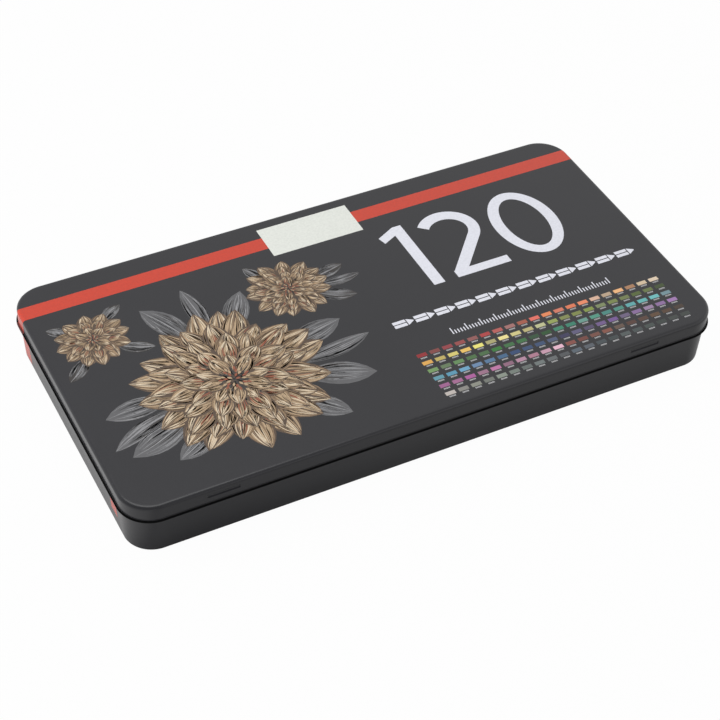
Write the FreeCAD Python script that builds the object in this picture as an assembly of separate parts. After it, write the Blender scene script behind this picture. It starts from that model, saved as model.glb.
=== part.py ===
import FreeCAD, Part
import math
import os

os.makedirs("parts", exist_ok=True)

# A hinged tin for colored pencils, in millimetres.
# Origin under the middle of the base, X along the length, hinge at +Y, Z up.

# Pencils: hexagonal barrels with eased edges, sharpened at the back end
pencil_length = 175.0
pencil_flats = 6.9
pencil_round_radius = 3.75
sharpened_length = 19.0
tip_radius = 0.35
lead_radius = 1.9
lead_clearance = 0.03
pencils_per_tray = 40
pencils_per_family = 10
families = [
    ["yellow", "orange", "red", "pink"],
    ["violet", "blue", "turquoise", "green"],
    ["olive", "brown", "grey", "dark"],
]

# Trays: one formed sheet each, standing on each other by their skirts
tray_names = ["tray_top", "tray_middle", "tray_bottom"]
tray_sheet = 0.5
tray_height = 10.6
tray_end_rim = 8.4
tray_front_rim = 7.95
tray_clearance = 0.5
groove_clearance = 0.25
groove_axis_drop = 1.3
land_drop = 2.7
land_web = 0.84
pencil_end_gap = 0.75
pencil_seat_clearance = 0.03
finger_trough_width = 30.0
thumb_notch_width = 30.0
thumb_notch_radius = 4.0
thumb_notch_ledge = 1.4

# Tinplate shells
sheet = 0.3
corner_radius = 19.5
overrun = 1.0

# Lid: skirt, top edge, rolled hem, front catch dimples and liner
skirt_depth = 11.4
top_edge_radius = 2.2
wire_clearance = 0.08
hem_roll_degrees = 292.0
hem_root_radius = 0.4
dimple_spacing = 274.0
dimple_length = 20.0
dimple_height = 2.4
dimple_depth = 0.25
dimple_slope = 0.6
dimple_drop = 4.9
liner_thickness = 2.0
liner_gap = 0.6
liner_margin = 4.5

# Base: tapered wall, folded rim and raised floor panel
catch_clearance = 0.24
wall_lean = 1.51
rim_drop = 3.6
rim_fold = 3.0
foot_radius = 0.8
panel_border = 10.0
panel_ramp = 1.2
panel_lift = 0.8

# Hinge: a wire in the lid's rear hem and two straps from the base's back wall
wire_radius = 0.3
wire_end_gap = 4.0
hinge_spacing = 220.0
strap_width = 24.0
strap_sheet = 0.3
strap_leg = 10.0
strap_clearance = 0.05
window_clearance = 0.3

# Sizes that follow from the ones above
groove_radius = pencil_round_radius + groove_clearance
groove_axis = tray_height - groove_axis_drop
land_level = tray_height - land_drop
land_under = groove_axis - land_level + tray_sheet
groove_pitch = 2 * math.sqrt((groove_radius + tray_sheet) ** 2 - land_under ** 2) + land_web
bay_length = pencils_per_tray * groove_pitch
bay_width = pencil_length + 2 * pencil_end_gap
tray_length = bay_length + 2 * (tray_sheet + tray_end_rim)
tray_width = bay_width + 2 * (tray_sheet + tray_front_rim)
flat_edge = math.sqrt(pencil_round_radius ** 2 - (pencil_flats / 2) ** 2)
seat_reach = math.sqrt((groove_radius - pencil_seat_clearance) ** 2 - flat_edge ** 2)
pencil_axis = groove_axis - (seat_reach - pencil_flats / 2)
pencil_top = pencil_axis + pencil_flats / 2

rim_inset = sheet + dimple_depth + catch_clearance
foot_inset = rim_inset + wall_lean
tray_inset = foot_inset + sheet + tray_clearance
lid_length = tray_length + 2 * tray_inset
lid_width = tray_width + 2 * tray_inset
stack_height = sheet + (len(tray_names) - 1) * tray_height + pencil_top
closed_height = stack_height + liner_gap + liner_thickness + sheet
rim_level = closed_height - sheet - rim_drop
hem_bore = wire_radius + wire_clearance
hem_level = closed_height - skirt_depth + hem_bore + sheet
hinge_y = lid_width / 2 + hem_bore


def place(shape, x=0, y=0, z=0):
    moved = shape.copy()
    moved.translate(FreeCAD.Vector(x, y, z))
    return moved


def turned(shape, axis, degrees):
    moved = shape.copy()
    moved.rotate(FreeCAD.Vector(), axis, degrees)
    return moved


x_axis = FreeCAD.Vector(1, 0, 0)
z_axis = FreeCAD.Vector(0, 0, 1)


def side_point(out, up):
    return FreeCAD.Vector(out, 0, up)


def arc_point(centre_out, centre_up, radius, degrees):
    angle = math.radians(degrees)
    return side_point(centre_out + radius * math.cos(angle), centre_up + radius * math.sin(angle))


def outline_face(steps):
    # Each step is the next point, or a point on an arc and the arc's end.
    edges = []
    start = steps[0][0]
    for step in steps[1:] + steps[:1]:
        if len(step) == 2:
            edges.append(Part.Arc(start, step[0], step[1]).toShape())
        else:
            edges.append(Part.LineSegment(start, step[-1]).toShape())
        start = step[-1]
    return Part.Face(Part.Wire(edges))


def rounded_plate(length, width, radius, thickness):
    run_x = length / 2 - radius
    run_y = width / 2 - radius
    plates = [
        place(Part.makeBox(length, 2 * run_y, thickness), -length / 2, -run_y),
        place(Part.makeBox(2 * run_x, width, thickness), -run_x, -width / 2),
    ]
    for x in (-run_x, run_x):
        for y in (-run_y, run_y):
            plates.append(place(Part.makeCylinder(radius, thickness), x, y))
    return plates[0].multiFuse(plates[1:]).removeSplitter()


def drawn_shell(section, floor_level):
    # A wall section carried along four sides and round four corners, closed by a flat middle.
    run_x = lid_length / 2 - corner_radius
    run_y = lid_width / 2 - corner_radius
    corners = [(run_x, run_y), (-run_x, run_y), (-run_x, -run_y), (run_x, -run_y)]
    runs = [(lid_length / 2, run_y), (lid_width / 2, run_x)] * 2
    pieces = [place(Part.makeBox(2 * run_x, 2 * run_y, sheet), -run_x, -run_y, floor_level)]
    for quarter, (reach, half_run) in enumerate(runs):
        side = place(section, reach, -half_run).extrude(FreeCAD.Vector(0, 2 * half_run, 0))
        pieces.append(turned(side, z_axis, 90 * quarter))
        corner = place(section, corner_radius).revolve(FreeCAD.Vector(), z_axis, 90)
        pieces.append(place(turned(corner, z_axis, 90 * quarter), *corners[quarter]))
    return pieces[0].multiFuse(pieces[1:]).removeSplitter()


def slot_wire(x, y, z, length, height):
    half_run = (length - height) / 2
    left = FreeCAD.Vector(x - half_run, y, z)
    right = FreeCAD.Vector(x + half_run, y, z)
    up = FreeCAD.Vector(0, 0, height / 2)
    out = FreeCAD.Vector(height / 2, 0, 0)
    return Part.Wire([
        Part.LineSegment(left + up, right + up).toShape(),
        Part.Arc(right + up, right + out, right - up).toShape(),
        Part.LineSegment(right - up, left - up).toShape(),
        Part.Arc(left - up, left - out, left + up).toShape(),
    ])


def dimple(x, y):
    mouth = slot_wire(x, y, closed_height - dimple_drop, dimple_length, dimple_height)
    floor = slot_wire(x, y + dimple_depth, closed_height - dimple_drop,
                      dimple_length - 2 * dimple_slope, dimple_height - 2 * dimple_slope)
    return Part.makeLoft([mouth, floor], True, True)


# Lid: one section from the top panel down the skirt, out over the hem and round it
def lid_shell():
    edge_level = closed_height - top_edge_radius
    edge_out = -top_edge_radius
    hem_outer = hem_bore + sheet
    root_out = hem_root_radius - hem_bore
    root_rise = math.sqrt((hem_root_radius + hem_outer) ** 2 - root_out ** 2)
    root_level = hem_level + root_rise
    roll_start = math.degrees(math.atan2(root_rise, root_out))
    roll_middle = roll_start - hem_roll_degrees / 2
    roll_end = roll_start - hem_roll_degrees
    root_middle = 180 + roll_start / 2
    section = outline_face([
        [side_point(-corner_radius, closed_height)],
        [side_point(edge_out, closed_height)],
        [arc_point(edge_out, edge_level, top_edge_radius, 45), side_point(0, edge_level)],
        [side_point(0, root_level)],
        [arc_point(hem_root_radius, root_level, hem_root_radius, root_middle),
         arc_point(hem_bore, hem_level, hem_outer, roll_start)],
        [arc_point(hem_bore, hem_level, hem_outer, roll_middle),
         arc_point(hem_bore, hem_level, hem_outer, roll_end)],
        [arc_point(hem_bore, hem_level, hem_bore, roll_end)],
        [arc_point(hem_bore, hem_level, hem_bore, roll_middle),
         arc_point(hem_bore, hem_level, hem_bore, roll_start)],
        [arc_point(hem_root_radius, root_level, hem_root_radius + sheet, root_middle),
         side_point(-sheet, root_level)],
        [side_point(-sheet, edge_level)],
        [arc_point(edge_out, edge_level, top_edge_radius - sheet, 45),
         side_point(edge_out, closed_height - sheet)],
        [side_point(-corner_radius, closed_height - sheet)],
    ])
    shell = drawn_shell(section, closed_height - sheet)
    front = -lid_width / 2
    for x in (-dimple_spacing / 2, dimple_spacing / 2):
        shell = shell.fuse(dimple(x, front + sheet)).cut(dimple(x, front))
    eye_rise = wire_radius + strap_clearance + strap_sheet + window_clearance
    window_top = hem_level + max(eye_rise, root_rise)
    window_bottom = hem_level - hem_outer - overrun
    window_front = lid_width / 2 - sheet - overrun
    window_depth = hinge_y + hem_outer + overrun - window_front
    window_width = strap_width + 2 * window_clearance
    window = Part.makeBox(window_width, window_depth, window_top - window_bottom)
    for x in (-hinge_spacing / 2, hinge_spacing / 2):
        shell = shell.cut(place(window, x - window_width / 2, window_front, window_bottom))
    return shell.removeSplitter()


def lid_liner():
    inset = sheet + liner_margin
    liner = rounded_plate(lid_length - 2 * inset, lid_width - 2 * inset,
                          corner_radius - inset, liner_thickness)
    return place(liner, 0, 0, closed_height - sheet - liner_thickness)


# Base: one section from the raised panel over the foot and up the leaning wall to the folded rim
def wall_inset(level):
    return foot_inset + (rim_inset - foot_inset) * level / rim_level


def base_shell():
    fold_level = rim_level - sheet
    fold_out = -wall_inset(fold_level) - sheet
    leaf_end = rim_level - rim_fold
    foot_out = -wall_inset(foot_radius) - foot_radius
    ramp_outer = -foot_inset - panel_border
    ramp_inner = ramp_outer - panel_ramp
    section = outline_face([
        [side_point(-corner_radius, panel_lift)],
        [side_point(ramp_inner, panel_lift)],
        [side_point(ramp_outer, 0)],
        [side_point(foot_out, 0)],
        [arc_point(foot_out, foot_radius, foot_radius, -45), side_point(foot_out + foot_radius, foot_radius)],
        [side_point(-wall_inset(fold_level), fold_level)],
        [side_point(fold_out, rim_level), side_point(fold_out - sheet, fold_level)],
        [side_point(-wall_inset(leaf_end) - 2 * sheet, leaf_end)],
        [side_point(-wall_inset(leaf_end) - sheet, leaf_end)],
        [side_point(foot_out + foot_radius - sheet, foot_radius)],
        [arc_point(foot_out, foot_radius, foot_radius - sheet, -45), side_point(foot_out, sheet)],
        [side_point(ramp_outer, sheet)],
        [side_point(ramp_inner, panel_lift + sheet)],
        [side_point(-corner_radius, panel_lift + sheet)],
    ])
    return drawn_shell(section, panel_lift)


# Hinge: the wire turns with the lid, the straps stay on the base
def hinge_wire():
    length = lid_length - 2 * (corner_radius + wire_end_gap)
    wire = Part.makeCylinder(wire_radius, length, FreeCAD.Vector(), x_axis)
    return place(wire, -length / 2, hinge_y, hem_level)


def hinge_strap(x):
    eye_bore = wire_radius + strap_clearance
    eye_radius = eye_bore + strap_sheet
    bridge_bottom = hem_level - eye_radius
    bridge_top = hem_level - eye_bore
    leg_bottom = bridge_bottom - strap_leg

    def wall_point(level, off_wall):
        return FreeCAD.Vector(0, lid_width / 2 - wall_inset(level) + off_wall, level)

    leg = Part.makePolygon([
        wall_point(leg_bottom, 0), wall_point(leg_bottom, strap_sheet),
        wall_point(bridge_top, strap_sheet), wall_point(bridge_top, 0), wall_point(leg_bottom, 0),
    ])
    bridge = Part.makePolygon([
        wall_point(bridge_bottom, 0), FreeCAD.Vector(0, hinge_y, bridge_bottom),
        FreeCAD.Vector(0, hinge_y, bridge_top), wall_point(bridge_top, 0), wall_point(bridge_bottom, 0),
    ])
    across = FreeCAD.Vector(strap_width, 0, 0)
    eye_centre = FreeCAD.Vector(0, hinge_y, hem_level)
    strap = Part.makeCylinder(eye_radius, strap_width, eye_centre, x_axis)
    strap = strap.multiFuse([Part.Face(leg).extrude(across), Part.Face(bridge).extrude(across)])
    strap = strap.cut(Part.makeCylinder(eye_bore, strap_width, eye_centre, x_axis))
    return place(strap.removeSplitter(), x - strap_width / 2)


# Trays: a rim with a skirt round it, and a bay of half-round grooves formed down from the rim
def tray_block(inset, height):
    block = rounded_plate(tray_length - 2 * inset, tray_width - 2 * inset,
                          corner_radius - tray_inset - inset, height)
    notch_depth = tray_end_rim - thumb_notch_ledge + inset
    notch = rounded_plate(2 * notch_depth, thumb_notch_width + 2 * inset, thumb_notch_radius + inset, height)
    for x in (-tray_length / 2, tray_length / 2):
        block = block.cut(place(notch, x))
    return block


def groove_bay(radius, land, side_gap, end_gap):
    half_groove = math.sqrt(radius ** 2 - (groove_axis - land) ** 2)
    half_length = bay_length / 2 + side_gap
    steps = [[side_point(-half_length, tray_height)], [side_point(-half_length, land)]]
    for slot in range(pencils_per_tray):
        centre = groove_centre(slot)
        steps.append([side_point(centre - half_groove, land)])
        steps.append([side_point(centre, groove_axis - radius), side_point(centre + half_groove, land)])
    steps += [[side_point(half_length, land)], [side_point(half_length, tray_height)]]
    width = bay_width + 2 * end_gap
    bay = place(outline_face(steps), 0, -width / 2).extrude(FreeCAD.Vector(0, width, 0))
    trough_width = finger_trough_width + 2 * end_gap
    trough_floor = groove_axis - radius
    trough = Part.makeBox(2 * half_length, trough_width, tray_height - trough_floor)
    return bay.fuse(place(trough, -half_length, -trough_width / 2, trough_floor)).removeSplitter()


def groove_centre(slot):
    return (slot + 0.5) * groove_pitch - bay_length / 2


def tray():
    rim = tray_block(0, tray_height).cut(tray_block(tray_sheet, tray_height - tray_sheet))
    formed = groove_bay(groove_radius + tray_sheet, land_level - tray_sheet, tray_sheet, tray_sheet)
    hollow = groove_bay(groove_radius, land_level, 0, 0)
    return rim.fuse(formed).cut(hollow).removeSplitter()


# Pencils: barrel and lead share one sharpened outline
def pencil_pieces():
    barrel_length = pencil_length - sharpened_length
    sharpened = outline_face([
        [side_point(0, 0)],
        [side_point(pencil_round_radius, 0)],
        [side_point(pencil_round_radius, barrel_length)],
        [side_point(tip_radius, pencil_length)],
        [side_point(0, pencil_length)],
    ]).revolve(FreeCAD.Vector(), z_axis, 360)
    corner = pencil_flats / 2 / math.cos(math.radians(30))
    angles = [math.radians(60 * k) for k in range(7)]
    hexagon = [FreeCAD.Vector(corner * math.cos(a), corner * math.sin(a), 0) for a in angles]
    barrel = Part.Face(Part.makePolygon(hexagon)).extrude(FreeCAD.Vector(0, 0, pencil_length))
    bore = Part.makeCylinder(lead_radius + lead_clearance, pencil_length)
    casing = barrel.common(sharpened).cut(bore)
    lead = Part.makeCylinder(lead_radius, pencil_length).common(sharpened)
    return [place(turned(piece, x_axis, -90), 0, -pencil_length / 2) for piece in (casing, lead)]


def save(shape, name):
    shape.exportStep(f"parts/{name}.step")
    print(f"{name}: {len(shape.Solids)} solids, {shape.Volume:.1f} mm3, valid {shape.isValid()}")


save(lid_shell(), "lid_shell")
save(base_shell(), "base_shell")
save(lid_liner(), "lid_liner")
save(hinge_wire(), "hinge_wire")
save(hinge_strap(-hinge_spacing / 2), "hinge_strap_left")
save(hinge_strap(hinge_spacing / 2), "hinge_strap_right")

tray_shape = tray()
casing_shape, lead_shape = pencil_pieces()
for layer, tray_name in enumerate(tray_names):
    floor = sheet + (len(tray_names) - 1 - layer) * tray_height
    save(place(tray_shape, 0, 0, floor), tray_name)
    for group, family in enumerate(families[layer]):
        slots = range(group * pencils_per_family, (group + 1) * pencils_per_family)
        places = [(groove_centre(slot), 0, floor + pencil_axis) for slot in slots]
        save(Part.makeCompound([place(casing_shape, *spot) for spot in places]), f"pencil_casings_{family}")
        save(Part.makeCompound([place(lead_shape, *spot) for spot in places]), f"pencil_leads_{family}")

print(f"closed size {lid_length:.2f} x {lid_width:.2f} x {closed_height:.2f}")
print(f"hinge axis y {hinge_y:.3f}, z {hem_level:.3f}; pitch {groove_pitch:.3f}; rim {rim_level:.3f}")
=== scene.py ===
import bpy
import colorsys
import math
import random
from mathutils import Matrix, Vector


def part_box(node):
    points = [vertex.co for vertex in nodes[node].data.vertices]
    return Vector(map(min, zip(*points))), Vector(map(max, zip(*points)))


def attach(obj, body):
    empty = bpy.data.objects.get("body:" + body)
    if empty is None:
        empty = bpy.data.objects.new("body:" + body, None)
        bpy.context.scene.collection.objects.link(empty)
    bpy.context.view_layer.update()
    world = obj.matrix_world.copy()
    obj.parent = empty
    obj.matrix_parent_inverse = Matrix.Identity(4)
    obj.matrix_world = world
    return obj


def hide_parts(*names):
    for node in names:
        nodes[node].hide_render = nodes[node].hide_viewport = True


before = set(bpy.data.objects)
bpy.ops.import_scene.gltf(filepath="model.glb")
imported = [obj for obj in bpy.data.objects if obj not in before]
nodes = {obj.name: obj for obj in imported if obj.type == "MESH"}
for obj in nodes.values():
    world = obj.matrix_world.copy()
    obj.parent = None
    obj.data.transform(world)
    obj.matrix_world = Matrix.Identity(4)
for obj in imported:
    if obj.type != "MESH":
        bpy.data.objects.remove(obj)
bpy.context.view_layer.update()        # nodes now sit in world space
mm = 0.001
print("frame loaded:", len(nodes), "nodes")

# the tin's own sizes, read off the CAD shells
tin = {
    "corner": 19.5 * mm,       # skirt corner radius
    "sheet": 0.3 * mm,
    "rollOut": 0.38 * mm,      # how far the hem's roll stands out, to its middle
    "rollReach": 1.06 * mm,    # and to its outer side
    "rollRadius": 0.65 * mm,
    "rollBore": 0.34 * mm,     # just round the hinge wire
    "rollTurn": 292,           # degrees of roll
    "rollRoot": 0.4 * mm,      # hollow where the skirt turns out over the roll
    "filmRoom": 0.1 * mm,      # the lid's skin lies this far inside the solid, so the prints stay in its box
    "topEdge": 2.2 * mm,
    "flatHold": 1.2 * mm,      # flat strip that keeps the panel's shading level
    "cornerSteps": 20,
    "straight": 0.999,         # share of a direction that counts as straight out
}
lidLow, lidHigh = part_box("lid_shell")
rollRadius, rollOut = tin["rollRadius"], tin["rollOut"]
halfLength = lidHigh.x - tin["rollReach"]
halfWidth = -lidLow.y - tin["rollReach"]
runX = halfLength - tin["corner"]
runY = halfWidth - tin["corner"]
lidTop = lidHigh.z - tin["filmRoom"]
rollLevel = lidLow.z + tin["rollReach"] - rollOut
rootRise = math.sqrt((tin["rollRoot"] + rollRadius) ** 2 - (tin["rollRoot"] - rollOut) ** 2)
rootLevel = rollLevel + rootRise
rollStart = math.degrees(math.atan2(rootRise, tin["rollRoot"] - rollOut))


# mesh helpers
def meshObject(name, verts, faces, mats, kinds=None, sharp=35):
    mesh = bpy.data.meshes.new(name)
    mesh.from_pydata(verts, [], faces)
    for mat in mats:
        mesh.materials.append(mat)
    if kinds:
        mesh.polygons.foreach_set("material_index", kinds)
    mesh.polygons.foreach_set("use_smooth", [True] * len(mesh.polygons))
    mesh.set_sharp_from_angle(angle=math.radians(sharp))
    mesh.validate()
    piece = bpy.data.objects.new(name, mesh)
    bpy.context.scene.collection.objects.link(piece)
    return piece


def addPlate(verts, faces, outline, low, high):      # closed prism over a flat outline
    start, count = len(verts), len(outline)
    verts += [(x, y, low) for x, y in outline] + [(x, y, high) for x, y in outline]
    faces.append([start + k for k in reversed(range(count))])
    faces.append([start + count + k for k in range(count)])
    for k in range(count):
        after = (k + 1) % count
        faces.append([start + k, start + after, start + count + after, start + count + k])


def addGridFilm(verts, faces, lower, upper):      # closed film between two matching grids of points
    start, rows, cols = len(verts), len(lower), len(lower[0])
    verts += [p for row in lower for p in row] + [p for row in upper for p in row]

    def low(i, j):
        return start + i * cols + j

    def high(i, j):
        return start + (rows + i) * cols + j

    for i in range(rows - 1):
        for j in range(cols - 1):
            faces.append([low(i, j), low(i + 1, j), low(i + 1, j + 1), low(i, j + 1)])
            faces.append([high(i, j), high(i, j + 1), high(i + 1, j + 1), high(i + 1, j)])
    rim = [(0, j) for j in range(cols)] + [(i, cols - 1) for i in range(1, rows)]
    rim += [(rows - 1, j) for j in range(cols - 2, -1, -1)] + [(i, 0) for i in range(rows - 2, 0, -1)]
    for k in range(len(rim)):
        a, b = rim[k], rim[(k + 1) % len(rim)]
        faces.append([low(*a), low(*b), high(*b), high(*a)])


def addBand(verts, faces, left, right, low, high):      # flat film between two lines of points
    grids = [[[(x, y, level) for x, y in line] for line in (right, left)] for level in (low, high)]
    addGridFilm(verts, faces, *grids)


def pathSides(path, halves):      # the lines along both sides of a path
    left, right = [], []
    for k, ((x, y), half) in enumerate(zip(path, halves)):
        before, after = path[max(k - 1, 0)], path[min(k + 1, len(path) - 1)]
        dx, dy = after[0] - before[0], after[1] - before[1]
        size = math.hypot(dx, dy) or 1
        left.append((x - dy / size * half, y + dx / size * half))
        right.append((x + dy / size * half, y - dx / size * half))
    return left, right


def spread(low, high, count):
    return [low + (high - low) * k / (count - 1) for k in range(count)]


# material helpers
def newMaterial(name):
    mat = bpy.data.materials.new(name)
    mat.use_nodes = True
    return mat, mat.node_tree, mat.node_tree.nodes["Principled BSDF"]


def addNode(tree, kind, inputs=None, **settings):
    made = tree.nodes.new(kind)
    for key, value in settings.items():
        setattr(made, key, value)
    for key, value in (inputs or {}).items():
        if isinstance(value, bpy.types.NodeSocket):
            tree.links.new(value, made.inputs[key])
        else:
            made.inputs[key].default_value = value
    return made


def objectCoords(tree):
    return addNode(tree, "ShaderNodeTexCoord").outputs["Object"]


def noise(tree, scale, detail=3, rough=0.55, vector=None):
    made = addNode(tree, "ShaderNodeTexNoise", {"Scale": scale, "Detail": detail, "Roughness": rough})
    tree.links.new(vector or objectCoords(tree), made.inputs["Vector"])
    return made.outputs["Fac"]


def ramp(tree, fac, stops, steps=False):
    made = addNode(tree, "ShaderNodeValToRGB", {"Fac": fac})
    made.color_ramp.interpolation = "CONSTANT" if steps else "LINEAR"
    cells = made.color_ramp.elements
    while len(cells) < len(stops):
        cells.new(0.5)
    for cell, (place, tone) in zip(cells, stops):
        cell.position = place
        cell.color = (*tone, 1)
    return made.outputs["Color"]


def maths(tree, operation, a, b=0.0):
    return addNode(tree, "ShaderNodeMath", {0: a, 1: b}, operation=operation).outputs[0]


def between(tree, value, low, high):      # 1 inside the range, 0 outside
    over = maths(tree, "GREATER_THAN", value, low)
    under = maths(tree, "LESS_THAN", value, high)
    return maths(tree, "MULTIPLY", over, under)


def remap(tree, value, low, high, source=(0, 1)):
    made = addNode(tree, "ShaderNodeMapRange", {"Value": value, "To Min": low, "To Max": high})
    made.inputs["From Min"].default_value, made.inputs["From Max"].default_value = source
    return made.outputs["Result"]


def mixColor(tree, fac, a, b):
    made = addNode(tree, "ShaderNodeMix", data_type="RGBA")
    for socket, value in ((made.inputs[0], fac), (made.inputs[6], a), (made.inputs[7], b)):
        if isinstance(value, bpy.types.NodeSocket):
            tree.links.new(value, socket)
        else:
            socket.default_value = (*value, 1) if hasattr(value, "__len__") else value
    return made.outputs[2]


def bump(tree, shader, height, strength, distance):
    made = addNode(tree, "ShaderNodeBump", {"Height": height, "Strength": strength, "Distance": distance})
    tree.links.new(made.outputs["Normal"], shader.inputs["Normal"])


def shade(color, amount):
    return tuple(min(1, max(0, c * amount)) for c in color)


def cloudy(tree, pattern, color, dark, light):      # a colour that drifts with a pattern
    return ramp(tree, pattern, [(0.3, shade(color, dark)), (0.7, shade(color, light))])


def paint(tree, shader, tone):
    tree.links.new(tone, shader.inputs["Base Color"])


def satin(tree, shader, pattern, low, high):      # roughness that drifts with a pattern
    tree.links.new(remap(tree, pattern, low, high), shader.inputs["Roughness"])


def splitCoords(tree, kind):      # X, Y and Z of the place or of the normal
    coords = addNode(tree, "ShaderNodeTexCoord").outputs[kind]
    return addNode(tree, "ShaderNodeSeparateXYZ", {0: coords}).outputs


def dress(node, mat):      # new finish on a CAD node
    nodes[node].data.materials.clear()
    nodes[node].data.materials.append(mat)


# finishes of the tin
finish = {
    "print": (0.0080, 0.0080, 0.0112),    # satin black ink
    "printRough": (0.17, 0.27),
    "edgeTilt": (0.35, 0.93),             # how far up a rounded edge faces, where the ink is scuffed
    "scuffLevel": 0.66,
    "scuffMix": 0.35,
    "scuffPale": 5,                       # how many times paler a scuff is
    "baseShade": 0.95,                    # the base's ink against the lid's
    "inside": (0.0035, 0.0035, 0.0036),   # dull black lacquer
    "insideRough": (0.5, 0.65),
    "steel": (0.48, 0.47, 0.45),
    "steelRough": (0.24, 0.42),
    "drawn": (40, 2500, 2500),            # scale of the noise along and across the drawn lines
    "grain": 0.06 * mm,                   # depth of the fine bump in ink and lacquer
}


def printedTin(name, color):
    mat, tree, shader = newMaterial(name)
    tone = cloudy(tree, noise(tree, 14, 4), color, 0.9, 1.12)
    tilt = maths(tree, "ABSOLUTE", splitCoords(tree, "Normal")["Z"])
    edge = between(tree, tilt, *finish["edgeTilt"])
    scuffs = maths(tree, "GREATER_THAN", noise(tree, 420, 5, 0.7), finish["scuffLevel"])
    worn = maths(tree, "MULTIPLY", maths(tree, "MULTIPLY", edge, scuffs), finish["scuffMix"])
    paint(tree, shader, mixColor(tree, worn, tone, shade(color, finish["scuffPale"])))
    satin(tree, shader, noise(tree, 160, 4), *finish["printRough"])
    bump(tree, shader, noise(tree, 2600, 2), 0.05, finish["grain"])
    return mat


def dullLacquer(name, color, shine):
    mat, tree, shader = newMaterial(name)
    paint(tree, shader, cloudy(tree, noise(tree, 60, 4), color, 0.8, 1.3))
    satin(tree, shader, noise(tree, 300, 3), *finish["insideRough"])
    shader.inputs["Specular IOR Level"].default_value = shine
    bump(tree, shader, noise(tree, 2200, 2), 0.08, finish["grain"])
    return mat


def bareSteel(name, color):
    mat, tree, shader = newMaterial(name)
    drawn = addNode(tree, "ShaderNodeMapping", {"Vector": objectCoords(tree), "Scale": finish["drawn"]})
    lines = noise(tree, 1, 3, 0.6, drawn.outputs["Vector"])
    paint(tree, shader, cloudy(tree, lines, color, 0.75, 1))
    satin(tree, shader, lines, *finish["steelRough"])
    shader.inputs["Metallic"].default_value = 1
    bump(tree, shader, lines, 0.1, 0.03 * mm)
    return mat


lidPrint = printedTin("lidPrint", finish["print"])
basePrint = printedTin("basePrint", shade(finish["print"], finish["baseShade"]))
insideBlack = dullLacquer("insideBlack", finish["inside"], shine=0.12)
# painted shade: the hem roll's outer and lower side, darker and dull, stands for the shadow under the hem
rollPaintedShade = dullLacquer("rollPaintedShade", finish["inside"], shine=0.02)
pressedInk = dullLacquer("pressedInk", finish["print"], shine=0.25)
cutSteel = bareSteel("cutSteel", finish["steel"])
tinMats = [lidPrint, insideBlack, cutSteel, rollPaintedShade, pressedInk]
printFace, insideFace, cutFace, rollShadeFace, pressFace = range(len(tinMats))      # places in that list
print("tin finishes ready")


# one ring of stations round the tin: inner corner point and outward direction
def stations(frontXs, backXs, sideYs):
    steps = tin["cornerSteps"]
    ring = []
    sides = [
        [(runX, y) for y in sideYs],
        [(x, runY) for x in reversed(backXs)],
        [(-runX, y) for y in reversed(sideYs)],
        [(x, -runY) for x in frontXs],
    ]
    for quarter, side in enumerate(sides):
        angle = math.radians(90 * quarter)
        ring += [(x, y, round(math.cos(angle)), round(math.sin(angle))) for x, y in side]
        x, y = side[-1]
        for k in range(1, steps):
            angle = math.radians(90 * (quarter + k / steps))
            ring.append((x, y, math.cos(angle), math.sin(angle)))
    return ring


def arcSteps(outCentre, upCentre, radius, start, end, count):
    found = []
    for angle in spread(math.radians(start), math.radians(end), count):
        found.append((outCentre + radius * math.cos(angle), upCentre + radius * math.sin(angle)))
    return found


# sweep a wall section round the ring; kinds picks the material of the strip after each point
def sweepShell(name, ring, section, kinds, mats, bend=None, gaps=None):
    verts, faces, zones = [], [], []
    count = len(section)
    for px, py, dx, dy in ring:
        for out, up in section:
            reach = tin["corner"] + out
            point = Vector((px + dx * reach, py + dy * reach, up))
            verts.append(bend(point, dy) if bend else point)
    first, last = gaps["rows"] if gaps else (0, 0)
    cut = [bool(gaps) and gaps["test"](ring[i], ring[(i + 1) % len(ring)]) for i in range(len(ring))]
    for i in range(len(ring)):
        here, after = i * count, (i + 1) % len(ring) * count
        for j in range(count - 1):
            if cut[i] and first <= j < last:
                continue
            faces.append([here + j, here + j + 1, after + j + 1, after + j])
            zones.append(kinds[j])
        if cut[i]:      # top edge of a window
            faces.append([here + first, here + last, after + last, after + first])
            zones.append(cutFace)
        if cut[i] != cut[i - 1]:      # cut end of the roll
            cap = [here + j for j in range(first, last + 1)]
            faces.append(cap if cut[i] else cap[::-1])
            zones.append(cutFace)
    faces.append([i * count for i in range(len(ring))])
    zones.append(kinds[0])
    faces.append([i * count + count - 1 for i in reversed(range(len(ring)))])
    zones.append(kinds[-1])
    return meshObject(name, verts, faces, mats, zones)


# lid: panel, rounded edge, skirt with two pressed catches, rolled hem with two hinge windows
lid = {
    "catchSpacing": 274 * mm,
    "catchLength": 20 * mm,
    "catchHeight": 2.4 * mm,
    "catchDepth": 0.42 * mm,
    "catchFlat": 0.3,          # share of the dimple that is its flat floor
    "catchTilt": 0.1,          # the press dulls the ink where the dimple tilts more than this
    "catchDrop": 4.9 * mm,
    "windowGap": 0.3 * mm,
    "edgeRow": 3.2 * mm,           # a row of points this far below the panel
    "rootRow": 1.5 * mm,           # and one this far over the hem
    "catchRows": (15, 1.4 * mm),   # rows of points at the dimples and how far they reach from the middle
    "catchEnds": (6 * mm, 11 * mm),    # where a dimple's round ends take closer stations
    "endStations": 14,
    "middleStations": 5,
}
strapBoxes = [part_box("hinge_strap_left"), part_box("hinge_strap_right")]
windowEnds = [(low.x - lid["windowGap"], high.x + lid["windowGap"]) for low, high in strapBoxes]
catchLevel = lidTop - lid["catchDrop"]
catchXs = (-lid["catchSpacing"] / 2, lid["catchSpacing"] / 2)


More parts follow.
